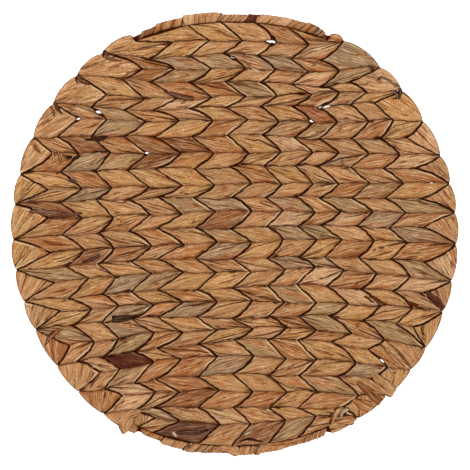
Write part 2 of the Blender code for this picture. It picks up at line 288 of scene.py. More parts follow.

# Loose leaf on the weave: torn ends, tucked and curled bits, folds that stick out at the edge, and
# near-black strips of painted shade in the pockets and gaps beside tucks. Each has its tone, how high it
# swells in millimetres, and a
# path: places in the photograph's pixels, with its width
LOOSE_LEAF = (
    ("umber", 1.0, ((164, 92, 1.5), (174, 95, 5.5), (184, 97.5, 6), (194, 99, 5))),
    ("pocket_shade", 1.1, ((112, 319, 7), (118, 319, 8), (128, 317.5, 6), (142, 314.5, 1.5))),
    ("dark", 0.4, ((176, 432, 2), (186, 432, 5), (198, 432, 5), (209, 429, 1.5))),
    ("cream", 0.9, ((172, 431, 1.5), (175, 434, 4), (177, 437, 1.5))),
    ("plum", 1.0, ((28, 211, 2), (38, 212, 6), (52, 214, 7.5), (68, 215, 6.5), (83, 213, 1.5))),
    ("umber", 0.9, ((82, 262.5, 2.5), (90, 260, 4.5), (101, 255, 2.5))),
    ("cream", 0.8, ((63, 262.5, 1), (68, 261.5, 2.5), (74, 261, 1))),
    ("rust", 0.8, ((40, 248, 2), (43, 250, 4), (47, 251, 1))),
    ("maroon", 0.6, ((424, 290, 3), (433, 298, 7), (441, 306, 7), (441, 311, 2))),
    ("cream", 0.7, ((421, 291, 1), (428, 299, 1.5), (438, 309, 1))),
    ("maroon", 0.4, ((364, 296, 2), (372, 299, 7), (380, 303, 5), (387, 304, 1.5))),
    ("maroon", 0.4, ((403, 303, 4), (412, 304, 4.5), (421, 308, 4), (427, 310, 1.5))),
    ("cream", 0.6, ((421, 307, 1), (425, 309, 2), (431, 312, 1))),
    ("umber", 1.6, ((107, 51, 3.5), (106.5, 55, 5), (110, 59, 3.5), (122, 61.5, 1))),
    ("pocket_shade", 1.8, ((104.5, 50, 1.5), (103.5, 54, 2.4), (104.5, 59, 1.2))),
    ("umber", 1.6, ((81, 75, 3.5), (79.5, 79, 5), (84, 83, 3), (94, 85.5, 1))),
    ("pocket_shade", 1.8, ((79.5, 74, 1.5), (76.5, 78.5, 2.2), (77.5, 83, 1.2))),
    ("rust", 1.3, ((51, 106, 2), (53, 111, 3.5), (55, 117, 1))),
    ("umber", 1.6, ((54, 102, 3), (57.5, 108, 4.5), (63, 115, 1))),
    ("rust", 0.8, ((33, 139, 2), (34, 144, 4.5), (37, 149, 4), (41, 153, 1))),
    ("umber", 1.6, ((367, 66, 1.5), (371.5, 68, 3.5), (372, 73, 2))),
    ("cream", 0.8, ((364, 64, 1), (369, 68, 1.5), (368, 71, 1))),
    ("pocket_shade", 0.9, ((399, 88, 3), (400, 92, 4.5), (399, 97, 3), (398, 100, 1))),
    ("pocket_shade", 0.7, ((401, 96, 1.5), (397, 98, 2.5), (392, 99, 1))),
    ("cream", 0.9, ((391, 90, 1), (396, 94, 1.5), (397, 100, 1.2))),
    ("pocket_shade", 1.0, ((85, 140, 1.5), (93, 139.5, 4), (101, 139, 5), (108, 137, 1.5))),
    ("pocket_shade", 0.5, ((62, 155, 1.5), (70, 158, 4.5), (76, 158, 4), (82, 155, 1))),
    ("rust", 0.8, ((53, 151, 2.5), (54, 157, 3), (54, 163, 2.5))),
    ("tan", 0.8, ((58, 151, 3), (60, 157, 3.5), (62, 163, 3))),
    ("rust", 0.7, ((63, 154, 1.5), (66, 158, 2.5), (68, 162, 1.5))),
    ("dark", 0.6, ((67, 178, 2), (71, 181, 4), (78, 185, 2))),
    ("cream", 0.9, ((73, 178, 1.2), (76, 182, 2), (74, 185, 1.2))),
    ("cream", 0.9, ((252, 69, 2), (257, 71.5, 4), (262, 72, 2.5))),
    ("pale", 0.9, ((348, 171, 1.5), (353, 172, 3.5), (358, 176, 2))),
    ("cream", 0.9, ((254, 426, 1.2), (252, 430, 2), (247, 433.5, 3), (243, 435, 1.2))),
    ("pocket_shade", 0.9, ((240, 441, 1), (248, 438.5, 2.5), (256, 440, 2.5), (263, 441, 1))),
    ("pocket_shade", 0.5, ((330, 424, 2), (333, 417, 9), (340, 411, 10), (350, 410, 5))),
    ("tan", 1.2, ((331, 425, 2), (334, 417, 5), (338, 411, 6), (343, 407, 3))),
    ("cream", 1.3, ((343, 419, 1.5), (341, 415, 4), (344, 410, 4.5), (349, 409, 2.5))),
    ("tan", 1.4, ((142, 410, 4), (131, 415, 12), (126, 423, 15), (126, 430, 11), (127, 432, 7))),
    ("rust", 1.2, ((336, 422, 3), (344, 420, 9), (351, 420, 10), (354, 420, 7))),
    ("rust", 1.2, ((352, 399, 3), (362, 404, 11), (369, 407, 12), (371, 408, 8))),
    ("brown", 1.2, ((357, 382, 4), (368, 391, 9), (378, 400, 9), (381, 402, 6))),
    ("tan", 1.4, ((371, 372, 4), (382, 383, 13), (391, 391, 13), (394, 393, 8))),
    ("cream", 0.9, ((387, 368, 1), (391, 370.5, 3), (396, 373, 1))),
    ("rust", 0.8, ((262, 444, 2), (280, 443, 4), (298, 439, 4), (314, 433, 2))),
    ("brown", 0.6, ((45, 346, 1.5), (50, 338, 5), (58, 331, 4.5), (63, 328, 1.5))),
    ("umber", 0.8, ((46, 341, 1), (50, 335, 2.5), (55, 330, 1))),
    ("rust", 0.7, ((82, 392, 1.5), (88, 382, 4), (92, 373, 3.5), (93, 366, 1.5))),
    ("brown", 0.6, ((90, 388, 1), (97, 377, 3), (103, 369, 1))),
    ("rust", 0.7, ((113, 413, 1.5), (118, 406, 3.5), (125, 400, 1.5))),
    ("rust", 0.6, ((377, 341, 1.5), (388, 352, 4), (400, 364, 4), (408, 370, 1.5))),
    ("brown", 0.6, ((385, 340, 1), (396, 350, 3), (406, 362, 3), (411, 368, 1))),
    ("tan", 1.0, ((220, 447, 5), (229, 449, 8), (236, 451, 10.5), (239, 452, 7))),
)
PHOTO_CENTRE = (234.75, 235.0)
PHOTO_PIXEL = 0.855 * MM
LOOSE_STEP = 0.5 * MM
LOOSE_ROUNDS = 8
LOOSE_END_STEPS = 4
LOOSE_SINK = 0.5 * MM
LOOSE_NEIGHBOURS = 10
LOOSE_TOP = 8.2 * MM
LOOSE_CONTOUR = 0.6

# Small see-through slits. Columns: place in millimetres, length, width, turn in degrees
SLITS = (
    (30.5, 165.5, 9.0, 2.6, -12),
    (-0.8, 152.0, 5.0, 1.8, 0),
    (-116.0, 105.0, 7.0, 2.2, 0),
    (-134.0, 99.2, 4.6, 1.6, 8),
    (57.0, 118.0, 8.0, 2.4, 0),
    (66.0, 97.5, 4.0, 2.4, 0),
    (76.5, 109.5, 10.0, 1.6, 8),
    (126.0, -107.5, 4.5, 1.5, -40),
    (-75.0, 70.1, 3.4, 1.6, 0),
    (168.0, 44.0, 3.6, 1.7, 0),
    (163.5, -64.0, 4.4, 1.7, -4),
    (140.0, 123.4, 3.4, 1.7, -12),
)
SLIT_REACH = 1.3

# Bands of the two rims, from left to right. Columns: where the band starts, in millimetres right of the
# middle, tone, width as a share of RIM_WIDTH, how many wraps, their lean, depth of the grooves between them
RIM_BANDS = {
    "rim_top": (
        (-90.0, "umber", 0.45, 2, 0.8, 0.5),
        (-81.5, "brown", 0.72, 2, 0.8, 0.5),
        (-68.0, "rust", 1.00, 1, 0.5, 0.8),
        (-61.0, "tan", 1.03, 3, 0.7, 0.5),
        (-44.0, "pale", 1.26, 1, 0.2, 1.0),
        (-34.5, "tan", 1.28, 1, 0.2, 0.6),
        (-25.0, "tan", 1.28, 1, 0.6, 0.6),
        (-13.4, "tan", 0.92, 6, 0.9, 1.0),
        (10.8, "maroon", 0.98, 1, 0.2, 0.7),
        (19.0, "pale", 1.10, 3, 0.9, 0.4),
        (48.0, "tan", 1.06, 2, 0.8, 1.0),
        (58.5, "rust", 1.22, 1, 0.6, 1.0),
        (64.0, "brown", 1.16, 1, 0.6, 0.6),
        (69.5, "grey", 0.92, 2, 0.6, 1.0),
        (77.0, "tan", 0.96, 3, 0.6, 1.0),
    ),
    "rim_bottom": (
        (-90.0, "umber", 0.50, 2, 0.4, 0.6),
        (-81.0, "rust", 0.66, 1, 0.3, 0.8),
        (-62.0, "tan", 0.96, 2, 0.5, 0.7),
        (-42.5, "pale", 1.16, 1, 0.9, 1.0),
        (-38.5, "tan", 1.20, 1, 0.9, 1.0),
        (-31.5, "olive", 0.98, 2, 0.9, 1.0),
        (-19.8, "rust", 0.86, 1, 0.8, 0.8),
        (3.2, "tan", 1.12, 3, 0.4, 1.0),
        (17.6, "pale", 1.22, 2, 0.7, 1.0),
        (23.0, "gold", 0.96, 7, 0.8, 0.5),
        (43.0, "rust", 0.80, 2, 0.8, 0.5),
        (60.0, "tan", 0.84, 6, 0.6, 0.9),
    ),
}
RIM_STEP = 0.5 * MM
# How much thinner the painted shade line between a rim and the weave is than the one round the outline
RIM_LINE_THINNING = 2.0
RIM_ROUNDS = 30
RIM_GROWTH_OUTWARD = 0.7
MOST_RIM_HALF_HEIGHT = 3.7 * MM
GROOVE_WIDTH = 0.35 * MM
GROOVE_DEPTH = 0.75 * MM
WRAP_LIP = 0.45 * MM
LIP_FADE = 1.6 * MM
# How unevenly the wraps of a band are spaced and sized, and how shallow the grooves within a band are
WRAP_SCATTER = 0.15
WRAP_SPREAD = 0.035
BAND_GROOVES = 0.7
# How much wider the painted shade line between two wraps is than the one at a seam
WRAP_LINE = 1.35
RIM_TAPER_LENGTH = 5.0 * MM
RIM_TAPER = 0.35

FLOOR_SIZE = 6.0
FLOOR_LEVEL = -0.3 * MM
FLOOR_GLOW = 1.0
WHITE = (1.0, 1.0, 1.0, 1.0)
FLOOR_WHITE = (0.8, 0.8, 0.8, 1.0)
WORLD_STRENGTH = 0.55
# Lights. Columns: place, power, size
LIGHTS = {
    "key": ((-1.1, 1.0, 1.9), 17.0, 0.7),
    "fill": ((1.4, -1.2, 1.8), 9.0, 1.4),
}

# One stroke of leaf: its row, its loop of point numbers, clockwise, the kind of each side of the loop, its
# two tips, and its lower corner on each side
Stroke = namedtuple("Stroke", "row loop kinds tips low_corners")


def polar(angle, radius):
    return np.array((radius * math.cos(angle), radius * math.sin(angle)))


def outline_radius(angle):
    """The mean radius of the outline toward an angle."""
    place = angle / (2 * math.pi) * len(OUTLINE_RADII)
    before = math.floor(place)
    share = place - before
    ease = share * share * (3 - 2 * share)
    here = OUTLINE_RADII[before % len(OUTLINE_RADII)]
    after = OUTLINE_RADII[(before + 1) % len(OUTLINE_RADII)]
    return here + (after - here) * ease


def rim_inner_radius(angle):
    return outline_radius(angle) - RIM_WIDTH - RIM_GAP


def edge_angle(side, height):
    """The angle at which the outline has this height, on one side of the mat."""
    angle = 0.0 if side == RIGHT else math.pi
    for _ in range(SETTLING_ROUNDS):
        rise = math.asin(height / outline_radius(angle))
        angle = rise if side == RIGHT else math.pi - rise
    return angle


def seam_end_angles(side):
    """The angles of all seam ends on a side, from the top rim's end down to the bottom rim's end."""
    if side == LEFT:
        column, top, bottom = 0, RIM_ENDS["rim_top"][1], RIM_ENDS["rim_bottom"][0]
    else:
        column, top, bottom = -1, RIM_ENDS["rim_top"][0], RIM_ENDS["rim_bottom"][1] - 360
    ends = [edge_angle(side, heights[column] * MM) for heights in SEAM_HEIGHTS]
    return [math.radians(top), *ends, math.radians(bottom)]


def notch_angles(side, ends):
    """Strokes turn round the edge between even seams on the left and between odd seams on the right."""
    if side == LEFT:
        return ends[0::2]
    return [ends[0], *ends[1::2], ends[-1]]


def edge_point(angle, notches):
    """A point of the scalloped outline, which lies deepest at the notches and swells out between them."""
    starts = [abs(notch - notches[0]) for notch in notches]
    share = np.interp(abs(angle - notches[0]), starts, range(len(starts))) % 1.0
    upper = 0.5 + 0.5 * math.sin(angle)
    bulge = BULGE[0] + (BULGE[1] - BULGE[0]) * upper
    swell = math.sin(math.pi * share) ** BULGE_ROUNDNESS
    depth = NOTCH_DEPTH[0] + (NOTCH_DEPTH[1] - NOTCH_DEPTH[0]) * upper
    return polar(angle, outline_radius(angle) - depth + (depth + bulge) * swell)


def scatter(seam, zigzag):
    """A small steady offset for one vertex of a zigzag."""
    dice = random.Random(SCATTER_SEED + 100 * seam + zigzag)
    return np.array((dice.uniform(-1, 1), dice.uniform(-1, 1))) * POINT_SCATTER


def zigzag_middle(zigzag, height):
    top, middle, bottom, _ = ZIGZAGS[zigzag]
    lift = height / ZIGZAG_STATION
    bend = (top + bottom) / 2 - middle
    return (middle + (top - bottom) / 2 * lift + bend * lift * lift) * MM


def rim_point(x, seam):
    """The point at this x where the first or the last seam borders its rim."""
    sign = 1 if seam == 0 else -1
    angle = sign * math.pi / 2
    for _ in range(SETTLING_ROUNDS):
        angle = sign * math.acos(x / rim_inner_radius(angle))
    return polar(angle, rim_inner_radius(angle))


def seam_point(seam, x, ends):
    """The point of a seam at this x, between its two end points."""
    if seam in (0, ROWS):
        return rim_point(x, seam)
    heights = np.array(SEAM_HEIGHTS[seam - 1]) * MM
    stations = (ends[0][0], -SEAM_STATION, 0.0, SEAM_STATION, ends[1][0])
    return np.array((x, np.interp(x, stations, heights)))


def seam_line(seam, ends):
    """One seam's points from left to right, and where each zigzag meets it as an index into them."""
    points = [ends[0]]
    meets = []
    swing_side = 1 if seam % 2 else -1
    for zigzag, (_, _, _, swing) in enumerate(ZIGZAGS):
        x = 0.0
        for _ in range(SETTLING_ROUNDS):
            height = seam_point(seam, x, ends)[1]
            x = zigzag_middle(zigzag, height) + swing_side * swing * MM
            x = min(max(x, ends[0][0]), ends[1][0])
        offset = scatter(seam, zigzag)
        point = seam_point(seam, x + offset[0], ends)
        if seam not in (0, ROWS):
            point = point + (0.0, offset[1])
        room = min(np.linalg.norm(point - ends[0]), np.linalg.norm(point - ends[1]))
        inside = ends[0][0] < x < ends[1][0] and room > LEAST_STROKE and (seam, zigzag) not in SWALLOWED
        if inside:
            points.append(point)
        meets.append(len(points) - 1 if inside or x < 0 else None)
    points.append(ends[1])
    last = len(points) - 1
    return points, [last if meet is None else meet for meet in meets]


class Plan:
    """The weave seen from above."""

    def __init__(self):
        self.points = []
        self.strokes = []
        angles = {side: seam_end_angles(side) for side in (LEFT, RIGHT)}
        self.notches = {side: notch_angles(side, angles[side]) for side in (LEFT, RIGHT)}
        self.angles = angles
        self.corners = {}
        lines = [self.make_line(seam) for seam in range(ROWS + 1)]
        rows = [self.make_row(row, lines) for row in range(ROWS)]
        self.turn_ends(rows, lines)
        for row in rows:
            self.strokes.extend(row)

    def add(self, point):
        self.points.append(np.asarray(point))
        return len(self.points) - 1

    def make_line(self, seam):
        ends = []
        for side in (LEFT, RIGHT):
            angle = self.angles[side][seam]
            ends.append(edge_point(angle, self.notches[side]))
            if seam in (0, ROWS):
                self.corners[seam, side] = self.add(ends[-1])
                ends[-1] = polar(angle, rim_inner_radius(angle))
        points, meets = seam_line(seam, ends)
        return [self.add(point) for point in points], meets

    def side_points(self, row, side):
        """The outline's points between the ends of a row's two seams, going down."""
        start, stop = self.angles[side][row], self.angles[side][row + 1]
        numbers = []
        for step in range(1, SIDE_POINTS + 1):
            angle = start + (stop - start) * step / (SIDE_POINTS + 1)
            numbers.append(self.add(edge_point(angle, self.notches[side])))
        if row == 0:
            numbers.insert(0, self.corners[0, side])
        if row == ROWS - 1:
            numbers.append(self.corners[ROWS, side])
        return numbers

    def make_row(self, row, lines):
        """The strokes of one row, from left to right."""
        (upper, upper_meets), (lower, lower_meets) = lines[row], lines[row + 1]
        borders = sorted({(0, 0), *zip(upper_meets, lower_meets), (len(upper) - 1, len(lower) - 1)})
        left_points = self.side_points(row, LEFT)
        right_points = self.side_points(row, RIGHT)
        strokes = []
        for first, (before, after) in enumerate(zip(borders, borders[1:])):
            top = upper[before[0] : after[0] + 1]
            low = lower[before[1] : after[1] + 1][::-1]
            loop = list(top)
            kinds = ["rim" if row == 0 else "seam"] * (len(top) - 1)
            is_last = first == len(borders) - 2
            if is_last:
                loop += right_points
            kinds += ["edge"] * (len(right_points) + 1) if is_last else ["right"]
            loop += low
            kinds += ["rim" if row == ROWS - 1 else "seam"] * (len(low) - 1)
            if first == 0:
                loop += left_points[::-1]
            kinds += ["edge"] * (len(left_points) + 1) if first == 0 else ["left"]
            tips = (top[0], low[0]) if row % 2 == 0 else (low[-1], top[-1])
            strokes.append(Stroke(row, loop, kinds, tips, {LEFT: low[-1], RIGHT: low[0]}))
        return strokes

    def turn_ends(self, rows, lines):
        """Joins the end strokes of two rows where the leaf turns round the edge, and drops the second."""
        for seam in range(1, ROWS):
            numbers = lines[seam][0]
            at = 0 if seam % 2 else -1
            inner, outer = (numbers[1], numbers[0]) if at == 0 else (numbers[-2], numbers[-1])
            above, below = rows[seam - 1][at], rows[seam][at]
            if not (has_side(above, inner, outer) and has_side(below, inner, outer)):
                continue
            if at == 0:
                tips = (below.low_corners[LEFT], inner)
            else:
                tips = (inner, below.low_corners[RIGHT])
            rows[seam - 1][at] = join_loops(above, below, inner, outer, tips)
            rows[seam].pop(at)


def has_side(stroke, a, b):
    pairs = zip(stroke.loop, stroke.loop[1:] + stroke.loop[:1])
    return any({p, q} == {a, b} for p, q in pairs)


def turned_to_end_with(stroke, p, q):
    """The stroke's loop and sides, turned so that the side from p to q is the last."""
    at = stroke.loop.index(q)
    return stroke.loop[at:] + stroke.loop[:at], stroke.kinds[at:] + stroke.kinds[:at]


def join_loops(above, below, a, b, tips):
    """One stroke in place of two that share the side between the points a and b."""
    following = above.loop[(above.loop.index(a) + 1) % len(above.loop)]
    p, q = (a, b) if following == b else (b, a)
    upper, upper_kinds = turned_to_end_with(above, p, q)
    lower, lower_kinds = turned_to_end_with(below, q, p)
    loop = upper + lower[1:-1]
    return Stroke(above.row, loop, upper_kinds[:-1] + lower_kinds[:-1], tips, below.low_corners)


def side_dice(a, b):
    """Random numbers that are the same for both strokes that share the side between two points."""
    return random.Random(SCATTER_SEED + SEED_STRIDE * min(a, b) + max(a, b))


def side_course(plan, a, b, kind):
    """Points from a up to, but not with, b: the same ones for the two strokes that share the side."""
    start, end = plan.points[min(a, b)], plan.points[max(a, b)]
    run = end - start
    length = np.linalg.norm(run)
    across = np.array((-run[1], run[0])) / length
    steps = max(1, round(length / BORDER_STEP))
    t = np.arange(steps + 1) / steps
    dice = side_dice(a, b)
    is_zigzag = kind in ("left", "right")
    across = across * (1 if across[0 if is_zigzag else 1] > 0 else -1)
    if is_zigzag:
        bow = dice.uniform(*ZIGZAG_BOW) * length
    else:
        bow = dice.uniform(*SEAM_BOW) if kind == "seam" else 0.0
    skewed = t ** dice.uniform(*BOW_SKEW)
    swing = bow * 4 * skewed * (1 - skewed)
    if is_zigzag or kind == "seam":
        for waves in KINK_WAVES:
            wave = np.sin(2 * math.pi * (waves * t + dice.random()))
            swing = swing + KINK / waves * np.sin(math.pi * t) * wave
    course = start + run * t[:, None] + across * swing[:, None]
    if a > b:
        course = course[::-1]
    return list(course[:-1])


def turned(place, angle):
    """A flat place, turned round the middle by an angle in degrees."""
    x, y = place
    cosine, sine = math.cos(math.radians(angle)), math.sin(math.radians(angle))
    return np.array((x * cosine - y * sine, x * sine + y * cosine))


def slit_opening(point):
    """How far a border at this point is drawn back to leave a slit."""
    opening = 0.0
    for x, y, length, width, angle in SLITS:
        away = turned((point - np.array((x, y)) * MM) / MM, -angle)
        along = away[0] / (length / 2)
        across = away[1] / (width * SLIT_REACH)
        if along**2 < 1 and across**2 < 1:
            opening = max(opening, width / 2 * math.sqrt(1 - along**2) * MM)
    return opening


def draw_in(points, depths):
    """The clockwise loop with each side moved inward by its own depth."""
    count = len(points)
    runs = np.roll(points, -1, axis=0) - points
    lengths = np.maximum(np.linalg.norm(runs, axis=1), 1e-9)
    inward = np.column_stack((runs[:, 1], -runs[:, 0])) / lengths[:, None]
    drawn = np.empty_like(points)
    for k in range(count):
        before, after = inward[k - 1], inward[k]
        turn = before[0] * after[1] - before[1] * after[0]
        if abs(turn) < LEAST_TURN:
            move = (before + after) / 2 * (depths[k - 1] + depths[k]) / 2
        else:
            move = np.linalg.solve(np.array((before, after)), np.array((depths[k - 1], depths[k])))
        size = np.linalg.norm(move)
        drawn[k] = points[k] + move * min(1.0, MOST_CORNER_INSET / max(size, 1e-9))
    return drawn


def travelled(path):
    """How far along a path each of its points lies."""
    steps = np.linalg.norm(np.diff(path, axis=0), axis=1)
    return np.concatenate(((0.0,), np.cumsum(steps)))


def at_lengths(path, count):
    """Points evenly spaced down a path, from just after its first point to just before its last."""
    travel = travelled(path)
    wanted = np.linspace(TIP_WIDTH, travel[-1] - TIP_WIDTH, count)
    return np.column_stack([np.interp(wanted, travel, path[:, axis]) for axis in (0, 1)])


def distance_to_sides(points, starts, ends):
    """Each point's distance to the nearest of these sides."""
    runs = ends - starts
    lengths = np.maximum((runs**2).sum(axis=1), 1e-12)
    away = points[:, None, :] - starts[None, :, :]
    shares = np.clip((away * runs[None]).sum(axis=2) / lengths, 0.0, 1.0)
    nearest = away - shares[:, :, None] * runs[None]
    return np.sqrt((nearest**2).sum(axis=2)).min(axis=1)


def bell(distance, width):
    return np.exp(-((distance / width) ** 2))


def across_shares():
    """Steps across a stroke, a little closer together at its sides."""
    even = np.linspace(0.0, 1.0, STEPS_ACROSS + 1)
    crowded = 0.5 - 0.5 * np.cos(math.pi * even)
    return (1 - CROWDING) * even + CROWDING * crowded


class Pillow:
    """The form of one stroke: where its grid of points lies, how high, and how far it lies from the borders,
    folds and outline that get painted shade.
    """

    def __init__(self, plan, stroke, dice):
        self.dice = dice
        loop = []
        kinds = []
        depths = []
        marks = {}
        pairs = zip(stroke.loop, stroke.loop[1:] + stroke.loop[:1], stroke.kinds)
        for a, b, kind in pairs:
            marks[a] = len(loop)
            course = side_course(plan, a, b, kind)
            loop.extend(course)
            kinds.extend([kind] * len(course))
            depths.extend([BORDERS[kind][0] * side_dice(b, a).uniform(*INSET_SPREAD)] * len(course))
        loop = np.array(loop)
        middles = (loop + np.roll(loop, -1, axis=0)) / 2
        depths = [depth + slit_opening(middle) for depth, middle in zip(depths, middles)]
        self.kinds = np.array(kinds)
        self.turns_edge = "edge" in kinds
        self.loop = draw_in(loop, np.array(depths))
        self.lay_grid(marks[stroke.tips[0]], marks[stroke.tips[1]])
        self.measure_borders()
        self.raise_surface()

    def side_path(self, left_tip, right_tip, way):
        """Points along the loop from the left tip to the right one, clockwise or the other way."""
        count = len(self.loop)
        numbers = [(left_tip + way * k) % count for k in range(way * (right_tip - left_tip) % count + 1)]
        return at_lengths(self.loop[numbers], STEPS_ALONG + 1)

    def lay_grid(self, left_tip, right_tip):
        upper, lower = (self.side_path(left_tip, right_tip, way) for way in (1, -1))
        across = across_shares()
        share = across[None, :, None]
        grid = lower[:, None, :] * (1 - share) + upper[:, None, :] * share
        self.shape = grid.shape[:2]
        self.points = grid.reshape(-1, 2)
        self.width = float(np.linalg.norm(upper - lower, axis=1).max())
        self.along = np.repeat(np.linspace(0.0, 1.0, STEPS_ALONG + 1), STEPS_ACROSS + 1)
        self.side = np.tile(across, STEPS_ALONG + 1)
        self.lay_fibres()

    def lay_fan(self):
        """Lengths along and across the fibres of an edge stroke, which fan out from its notch."""
        hub = self.points.mean(axis=0)
        notch = self.points[0] if hub[0] < 0 else self.points[-1]
        hub = notch + (notch - hub) * FAN_HUB
        away = self.points - hub
        middle = notch - hub
        turn = np.arctan2(away[:, 1] * middle[0] - away[:, 0] * middle[1], away @ middle)
        self.fibre_along = np.linalg.norm(away, axis=1)
        self.fibre_across = turn * FAN_SPREAD
        self.fibre_scale = self.fibre_along / FAN_SPREAD

    def lay_fibres(self):
        """Lengths along and across the fibres, which run from tip to tip and draw together at both tips."""
        if self.turns_edge:
            self.lay_fan()
            return
        first, last = self.points[0], self.points[-1]
        reach = np.linalg.norm(last - first)
        axis = (last - first) / reach
        away = self.points - first
        self.fibre_along = away @ axis
        share = np.clip(self.fibre_along / reach, 0.0, 1.0)
        middleness = np.sin(math.pi * share) ** TIP_ROUNDNESS
        self.fibre_scale = TIP_CLOSENESS + (1 - TIP_CLOSENESS) * middleness
        straight = (away[:, 1] * axis[0] - away[:, 0] * axis[1]) / self.fibre_scale
        self.fibre_across = straight + ((self.side - 0.5) * self.width - straight) * FIBRE_CURVE

    def measure_borders(self):
        starts = self.loop
        ends = np.roll(self.loop, -1, axis=0)
        far = np.full(len(self.points), 1.0)
        self.away = {}
        for kind in BORDERS:
            # Picks out the loop's sides of this kind
            highlighted = self.kinds == kind
            self.away[kind] = distance_to_sides(self.points, starts[highlighted], ends[highlighted]) if highlighted.any() else far

    def raise_surface(self):
        share = np.ones(len(self.points))
        for kind, (_, least, width, fullness) in BORDERS.items():
            climb = np.clip(self.away[kind] / width, 0.0, 1.0)
            share *= least + (1 - least) * (1 - (1 - climb) ** 2) ** fullness
        puff = 1 - CROWN_FALL + CROWN_FALL * (1 - (2 * self.side - 1) ** 2)
        crown = CROWN * (1 - CROWN_UNEVENNESS * self.dice.random())
        self.fold = self.measure_folds()
        relief = self.fibre_relief() * share
        crease = FOLD_DEPTH * bell(self.fold, FOLD_WIDTH) * share
        self.top = BASE_TOP + crown * share * puff + relief - crease
        depth = LOW_CROWN * np.minimum(1.0, share * puff * LOW_FULLNESS)
        self.low = np.maximum(BASE_LOW - depth - np.minimum(relief, 0.0) * LOW_RELIEF, 0.0)

    def fibre_relief(self):
        """Long low ridges that run with the leaf."""
        relief = np.zeros(len(self.points))
        for waves, height in FIBRE_RIDGES:
            turn = self.dice.uniform(0, 2 * math.pi)
            drift = self.dice.uniform(-0.5, 0.5)
            strength = self.dice.uniform(0.5, 1.0)
            lane = self.fibre_across / self.width
            relief += strength * height * np.sin(2 * math.pi * waves * lane + turn + drift * self.along)
        return relief

    def measure_folds(self):
        """Distance to the nearest fold. A fold runs along a line of fibres and fades out toward one tip."""
        nearest = np.full(len(self.points), FAR)
        folds = self.dice.choices((0, 1, 2), weights=FOLD_WEIGHTS)[0] + (1 if self.turns_edge else 0)
        for _ in range(folds):
            line = self.dice.uniform(*FOLD_LANES) * self.width
            reach = self.dice.uniform(*FOLD_REACH)
            start = self.along if self.dice.random() < 0.5 else 1 - self.along
            fade = np.clip((start - reach) / FOLD_FADE, 0.0, 1.0) * FOLD_SHIFT
            width = FOLD_NARROWEST + (1 - FOLD_NARROWEST) * np.clip(1 - start / reach, 0.0, 1.0)
            nearest = np.minimum(nearest, np.abs(self.fibre_across - line) * self.fibre_scale / width + fade)
        return nearest

    def strand(self):
        """Where each point lies along and across the leaf."""
        lane = np.full(len(self.points), self.dice.uniform(*LANES))
        return np.column_stack((self.fibre_along, self.fibre_across, lane))

    def borders(self):
        """Millimetres to the right border, the left one and the seams, and to the folds and the outline."""
        parts = [np.minimum(self.away[kind], FAR) / MM for kind in ("right", "left", "seam")]
        outside = np.minimum(self.away["edge"], self.away["rim"] * RIM_LINE_THINNING)
        return np.column_stack(parts), np.column_stack((self.fold, np.minimum(outside, FAR))) / MM


def border_ring(shape):
    """Numbers of a grid's border points, counterclockwise."""
    rows, columns = shape
    numbers = np.arange(rows * columns).reshape(shape)
    return np.concatenate((numbers[:-1, 0], numbers[-1, :-1], numbers[:0:-1, -1], numbers[0, :0:-1]))


def pillow_faces(shape, first, low_first):
    """Faces of a closed pillow whose top grid starts at one point number and whose low grid at another."""
    numbers = np.arange(shape[0] * shape[1]).reshape(shape)
    a, b = numbers[:-1, :-1].ravel(), numbers[1:, :-1].ravel()
    c, d = numbers[1:, 1:].ravel(), numbers[:-1, 1:].ravel()
    top = np.column_stack((a, b, c, d)) + first
    low = np.column_stack((d, c, b, a)) + low_first
    ring = border_ring(shape)
    after = np.roll(ring, -1)
    wall = np.column_stack((ring + low_first, after + low_first, after + first, ring + first))
    return np.concatenate((top, low, wall))


def screen_to_linear(colour):
    share = np.array(colour, float) / 255
    return np.where(share <= 0.04045, share / 12.92, ((share + 0.055) / 1.055) ** 2.4)


def inside(point, loop):
    """Whether a point lies in a loop of points."""
    x, y = point
    crossings = 0
    for (x0, y0), (x1, y1) in zip(loop, np.roll(loop, -1, axis=0)):
        if (y0 > y) != (y1 > y) and x < x0 + (y - y0) / (y1 - y0) * (x1 - x0):
            crossings += 1
    return crossings % 2 == 1


def stroke_tone(loop, dice):
    """The leaf's tone: an accent's where one lies in the stroke, else one drawn from the usual mix."""
    drawn = dice.choices(list(TONE_MIX), weights=TONE_MIX.values())[0]
    brightness = dice.uniform(*STROKE_BRIGHTNESS)
    for name, places in ACCENTS.items():
        if any(inside((x * MM, y * MM), loop) for x, y in places):
            return screen_to_linear(TONES[name])
    return screen_to_linear(TONES[drawn]) * brightness


def streak_share(tone):
    """How strongly the shared light streaks show on a tone: hardly at all on dark leaf."""
    luminance = np.asarray(tone) @ (0.21, 0.72, 0.07)
    return np.clip(luminance / FULL_STREAKS, LEAST_STREAKS, 1.0)


def set_attribute(mesh, name, kind, field, values):
    attribute = mesh.attributes.new(name, kind, "POINT")
    attribute.data.foreach_set(field, np.ascontiguousarray(values, dtype=np.float32).ravel())


def leaf_mesh(name, points, faces, **attributes):
    """A mesh of leaf with the attributes that its material reads."""
    mesh = bpy.data.meshes.new(name)
    mesh.from_pydata(points.tolist(), [], faces)
    for attribute, values in attributes.items():
        if attribute == "tone":
            values = np.column_stack((values, np.ones(len(values))))
            set_attribute(mesh, attribute, "FLOAT_COLOR", "color", values)
        else:
            set_attribute(mesh, attribute, "FLOAT_VECTOR", "vector", values)
    mesh.shade_smooth()
    mesh.set_sharp_from_angle(angle=math.radians(SHARP_ANGLE))
    return mesh


def add_object(name, data):
    thing = bpy.data.objects.new(name, data)
    bpy.context.scene.collection.objects.link(thing)
    return thing


def add_piece(name, mesh, material):
    piece = add_object(name, mesh)
    mesh.materials.append(material)
    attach(piece, BODY)
    return piece


